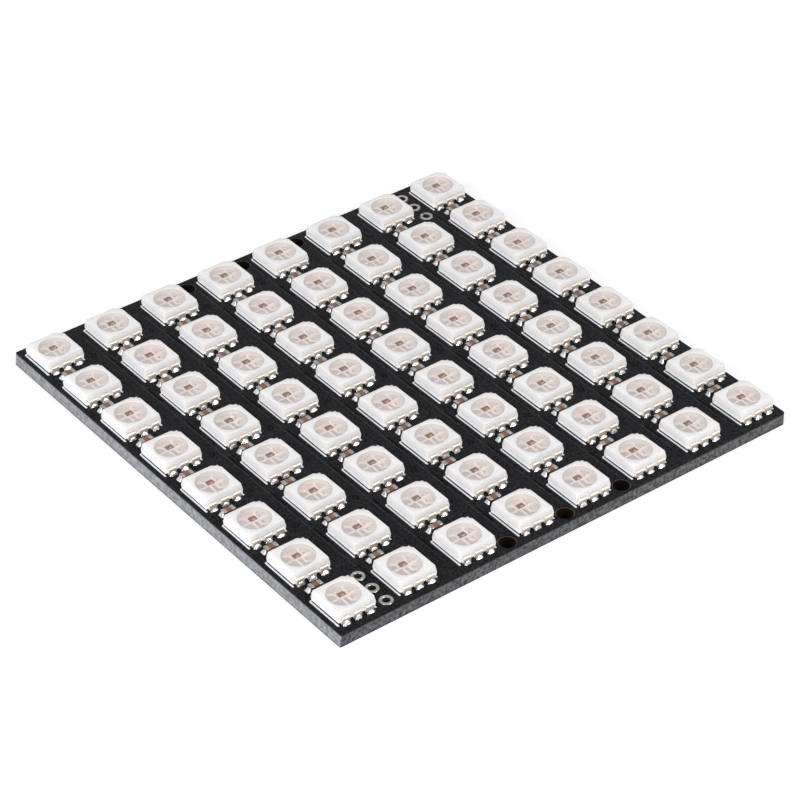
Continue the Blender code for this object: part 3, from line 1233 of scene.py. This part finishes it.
def lead_outline():
    """A lead from the side: out of the housing, round a bend, down, and under the body."""
    inner_bend = LEAD_BEND - LEAD_THICKNESS
    bend = LEAD_TIP - LEAD_BEND
    outer = [(LEAD_ROOT, LEAD_TOP)]
    outer += arc((bend, LEAD_TOP - LEAD_BEND), LEAD_BEND, 90, 0, BEND_STEPS)
    outer += arc((bend, PAD_HEIGHT + LEAD_BEND), LEAD_BEND, 0, -90, BEND_STEPS)
    outer.append((LEAD_FOOT, PAD_HEIGHT))
    inner = [(LEAD_FOOT, PAD_HEIGHT + LEAD_THICKNESS)]
    inner += arc((bend, PAD_HEIGHT + LEAD_BEND), inner_bend, -90, 0, BEND_STEPS)
    inner += arc((bend, LEAD_TOP - LEAD_BEND), inner_bend, 0, 90, BEND_STEPS)
    inner.append((LEAD_ROOT, LEAD_TOP - LEAD_THICKNESS))
    return outer + inner


def lead_template():
    """One lead on the front side of a package."""
    flat = prism_mesh("lead", lead_outline(), -LEAD_WIDTH / 2, LEAD_WIDTH / 2)
    stand = Matrix(((0, 0, 1, 0), (-1, 0, 0, 0), (0, 1, 0, 0), (0, 0, 0, 1)))
    flat.transform(stand)
    shape = bmesh.new()
    shape.from_mesh(flat)
    bmesh.ops.recalc_face_normals(shape, faces=shape.faces)
    return shaped("lead", mesh_from("lead", shape), edge=LEAD_EDGE, edge_steps=1)


def fillet_template(width, reach, height, waist, steepness):
    """A solder fillet: it climbs the metal at y = 0, where it is narrower, and thins out to -Y."""
    shape = bmesh.new()
    grid = []
    for step in range(FILLET_ALONG + 1):
        out = step / FILLET_ALONG
        half = width / 2 * (waist + (1 - waist) * math.sin(math.pi * out**0.7))
        swell = FILLET_SWELL * math.sin(math.pi * out)
        rise = height * ((1 - out) ** steepness + swell)
        line = []
        for index in range(FILLET_ACROSS + 1):
            side = 2 * index / FILLET_ACROSS - 1
            crown = 1 - side**4
            line.append(shape.verts.new((side * half, -reach * out, rise * crown)))
        grid.append(line)
    for near, far in zip(grid, grid[1:]):
        for index in range(FILLET_ACROSS):
            shape.faces.new((near[index], far[index], far[index + 1], near[index + 1]))
    shape.faces.new(grid[0][::-1])
    left = [line[0] for line in grid]
    right = [line[-1] for line in grid]
    shape.faces.new(left[::-1] + right + grid[-1][-2:0:-1])
    bmesh.ops.recalc_face_normals(shape, faces=shape.faces)
    return mesh_from("solder fillet", shape)


def lead_places(package):
    """Where a package's leads stand, front side and back side."""
    places = []
    for half_turn in (0, math.pi):
        for index in range(LEADS_A_SIDE):
            along = (index - (LEADS_A_SIDE - 1) / 2) * LEAD_PITCH
            turn = Matrix.Rotation(half_turn, 4, "Z")
            places.append(package @ turn @ Matrix.Translation((along, 0, 0)))
    return places


def uneven_stretch(draw):
    """A stretch that makes each solder fillet a little unlike the others."""
    factors = [1 + draw.uniform(-SOLDER_UNEVEN, SOLDER_UNEVEN) * share for share in (0.3, 1, 1)]
    return Matrix.Diagonal((*factors, 1))


def add_row_of_packages(row, templates, draw):
    """Every piece of one row's packages."""
    places = []
    lead_spots = []
    fillet_spots = []
    for column in range(COLUMNS):
        turn = Matrix.Rotation(draw.uniform(-PACKAGE_TURN, PACKAGE_TURN), 4, "Z")
        shift = Vector((draw.uniform(-1, 1), draw.uniform(-1, 1), 0)) * PACKAGE_SHIFT
        place = Matrix.Translation(package_place(row, column) + shift) @ turn
        places.append(place)
        housing = templates["housing"].copy()
        housing.transform(place)
        # The back row's packages belong to the board's node
        replaced = [node_name(row, column)] if row < ROWS - 1 else []
        name = f"housing_r{row + 1}_c{column + 1}"
        add_piece(name, housing, replaced=replaced)
        for spot in lead_places(place):
            lead_spots.append(spot)
            edge = Matrix.Translation((0, -LEAD_TIP, 0))
            fillet_spots.append(spot @ edge @ uneven_stretch(draw))
    for name, spots, slot, finish in (
        ("resin", places, "led_resin", RESIN),
        ("driver_chips", places, "driver_chip", CHIP),
        ("chip_logic", places, "driver_chip", CHIP_LOGIC),
        ("chip_drivers_and_reflection", places, "driver_chip", CHIP_DRIVERS_AND_REFLECTION),
        ("chip_pads_and_highlight", places, "driver_chip", CHIP_PADS_AND_HIGHLIGHT),
        ("led_dies", places, "driver_chip", DIE),
        ("bond_wires", places, "gold_bond_wire", GOLD),
        ("lead_frames", places, "tinned_metal", None),
        ("leads", lead_spots, "tinned_metal", TIN),
        ("solder", fillet_spots, "tinned_metal", SOLDER),
    ):
        add_row_piece(name, row, templates[name], spots, finish)


def add_packages():
    templates = {
        "housing": housing_template(),
        "resin": resin_template(),
        "lead_frames": lead_frame_template(),
        "driver_chips": chip_template(),
        "chip_logic": chip_field_template(LOGIC_FIELD),
        "chip_drivers_and_reflection": chip_field_template(DRIVERS_AND_REFLECTION_FIELD),
        "chip_pads_and_highlight": chip_field_template(PADS_AND_HIGHLIGHT_FIELD),
        "led_dies": dies_template(),
        "bond_wires": wires_template(),
        "leads": lead_template(),
        "solder": fillet_template(
            SOLDER_WIDTH, SOLDER_REACH, SOLDER_HEIGHT, SOLDER_WAIST, SOLDER_STEEPNESS
        ),
    }
    draw = random.Random(PACKAGE_SEED)
    for row in range(ROWS):
        add_row_of_packages(row, templates, draw)


# Capacitors

def capacitor_templates():
    """The ceramic body and its two plated ends."""
    middle = Vector((0, 0, PAD_HEIGHT + CAPACITOR_SIZE.z / 2))
    plating = Vector((CAPACITOR_END, 2 * CAPACITOR_PLATING, 2 * CAPACITOR_PLATING))
    body = bmesh.new()
    add_box(body, CAPACITOR_SIZE - plating, middle)
    ends = bmesh.new()
    end_size = (CAPACITOR_END, CAPACITOR_SIZE.y, CAPACITOR_SIZE.z)
    for side in (-1, 1):
        x = side * (CAPACITOR_SIZE.x - CAPACITOR_END) / 2
        add_box(ends, end_size, middle + Vector((x, 0, 0)))
    body_mesh = mesh_from("capacitor body", body)
    ends_mesh = mesh_from("capacitor ends", ends)
    return (
        shaped("capacitor body", body_mesh, edge=CAPACITOR_EDGE),
        shaped("capacitor ends", ends_mesh, edge=CAPACITOR_END_EDGE, edge_steps=3),
    )


def add_capacitors():
    body, ends = capacitor_templates()
    fillet = fillet_template(
        CAPACITOR_SOLDER_WIDTH,
        CAPACITOR_SOLDER_REACH,
        CAPACITOR_SOLDER_HEIGHT,
        CAPACITOR_SOLDER_WAIST,
        CAPACITOR_SOLDER_STEEPNESS,
    )
    edge = Matrix.Translation((0, -CAPACITOR_SIZE.x / 2, 0))
    draw = random.Random(CAPACITOR_SEED)
    for row in range(ROWS - 1):
        places = []
        fillets = []
        for move in moves_to_packages([row], range(COLUMNS), CAPACITOR_PLACE):
            angle = draw.uniform(-CAPACITOR_TURN, CAPACITOR_TURN)
            place = move @ Matrix.Rotation(angle, 4, "Z")
            places.append(place)
            for side in (-1, 1):
                quarter = Matrix.Rotation(side * math.pi / 2, 4, "Z")
                fillets.append(place @ quarter @ edge @ uneven_stretch(draw))
        add_row_piece("capacitors", row, body, places, CERAMIC)
        add_row_piece("capacitor_ends", row, ends, places, PLATING)
        add_row_piece("capacitor_solder", row, fillet, fillets, SOLDER)


# Stage

def add_camera():
    data = bpy.data.cameras.new("camera")
    data.lens = CAMERA_LENS
    data.sensor_width = SENSOR_WIDTH
    camera = put_in_scene("camera", data)
    turn = Matrix.Rotation(-CAMERA_AZIMUTH, 4, "Z")
    tilt = Matrix.Rotation(math.pi / 2 - CAMERA_DOWN, 4, "X")
    roll = Matrix.Rotation(-CAMERA_ROLL, 4, "Z")
    camera.matrix_world = Matrix.Translation(CAMERA_PLACE) @ turn @ tilt @ roll
    bpy.context.scene.camera = camera


def seen_rays(tree):
    """1 for rays that show the background: to the camera, off a mirror or through glass."""
    rays = tree.nodes.new("ShaderNodeLightPath").outputs
    either = add_math(tree, "MAXIMUM", rays["Is Camera Ray"], rays["Is Glossy Ray"])
    return add_math(tree, "MAXIMUM", either, rays["Is Transmission Ray"])


def add_world(strength):
    world = bpy.data.worlds.new("studio")
    bpy.context.scene.world = world
    world.use_nodes = True
    tree = world.node_tree
    light = tree.nodes["Background"]
    light.inputs["Color"].default_value = (1, 1, 1, 1)
    light.inputs["Strength"].default_value = strength
    white = tree.nodes.new("ShaderNodeBackground")
    white.inputs["Color"].default_value = (1, 1, 1, 1)
    pick = tree.nodes.new("ShaderNodeMixShader")
    tree.links.new(seen_rays(tree), pick.inputs["Fac"])
    tree.links.new(light.outputs[0], pick.inputs[1])
    tree.links.new(white.outputs[0], pick.inputs[2])
    tree.links.new(pick.outputs[0], tree.nodes["World Output"].inputs["Surface"])


def add_floor(glow):
    """A pale floor that looks white and keeps a soft shadow."""
    shape = bmesh.new()
    bmesh.ops.create_grid(shape, x_segments=1, y_segments=1, size=FLOOR_SIZE)
    mesh = mesh_from("floor", shape)
    floor = put_in_scene("floor", mesh)
    floor.location.z = -FLOOR_DROP
    finish, tree, shader = new_finish("pale floor")
    shader.inputs["Base Color"].default_value = (0.72, 0.72, 0.72, 1)
    shader.inputs["Roughness"].default_value = 0.9
    shader.inputs["Specular IOR Level"].default_value = 0.1
    shader.inputs["Emission Color"].default_value = (1, 1, 1, 1)
    strength = add_math(tree, "MULTIPLY", seen_rays(tree), glow)
    tree.links.new(strength, shader.inputs["Emission Strength"])
    mesh.materials.append(finish)


def add_softbox(name, place, size, power):
    """An area light that faces the panel."""
    data = bpy.data.lights.new(name, "AREA")
    data.shape = "SQUARE"
    data.size = size
    data.energy = power
    lamp = put_in_scene(name, data)
    lamp.location = place
    lamp.rotation_euler = Vector(place).to_track_quat("Z", "Y").to_euler()


add_camera()
add_world(strength=0.51)
add_floor(glow=0.45)
add_softbox("left softbox", place=(-0.43, -0.06, 0.22), size=0.3, power=1.5)
add_softbox("front softbox", place=(0.16, -0.4, 0.26), size=0.2, power=1.05)

add_laminate()
add_mask("solder_mask_top", BOARD_THICKNESS - MASK_THICKNESS, BOARD_THICKNESS, HOLE_CLEARANCE)
# The back mask's lap into the mounting holes is a dark sheet standing for shade
add_mask("solder_mask_back", 0.0, MASK_THICKNESS, -SHADE_LAP)
add_copper_relief()
add_header_rings()
add_marks()
add_packages()
add_capacitors()

bpy.context.scene.view_settings.view_transform = "Standard"
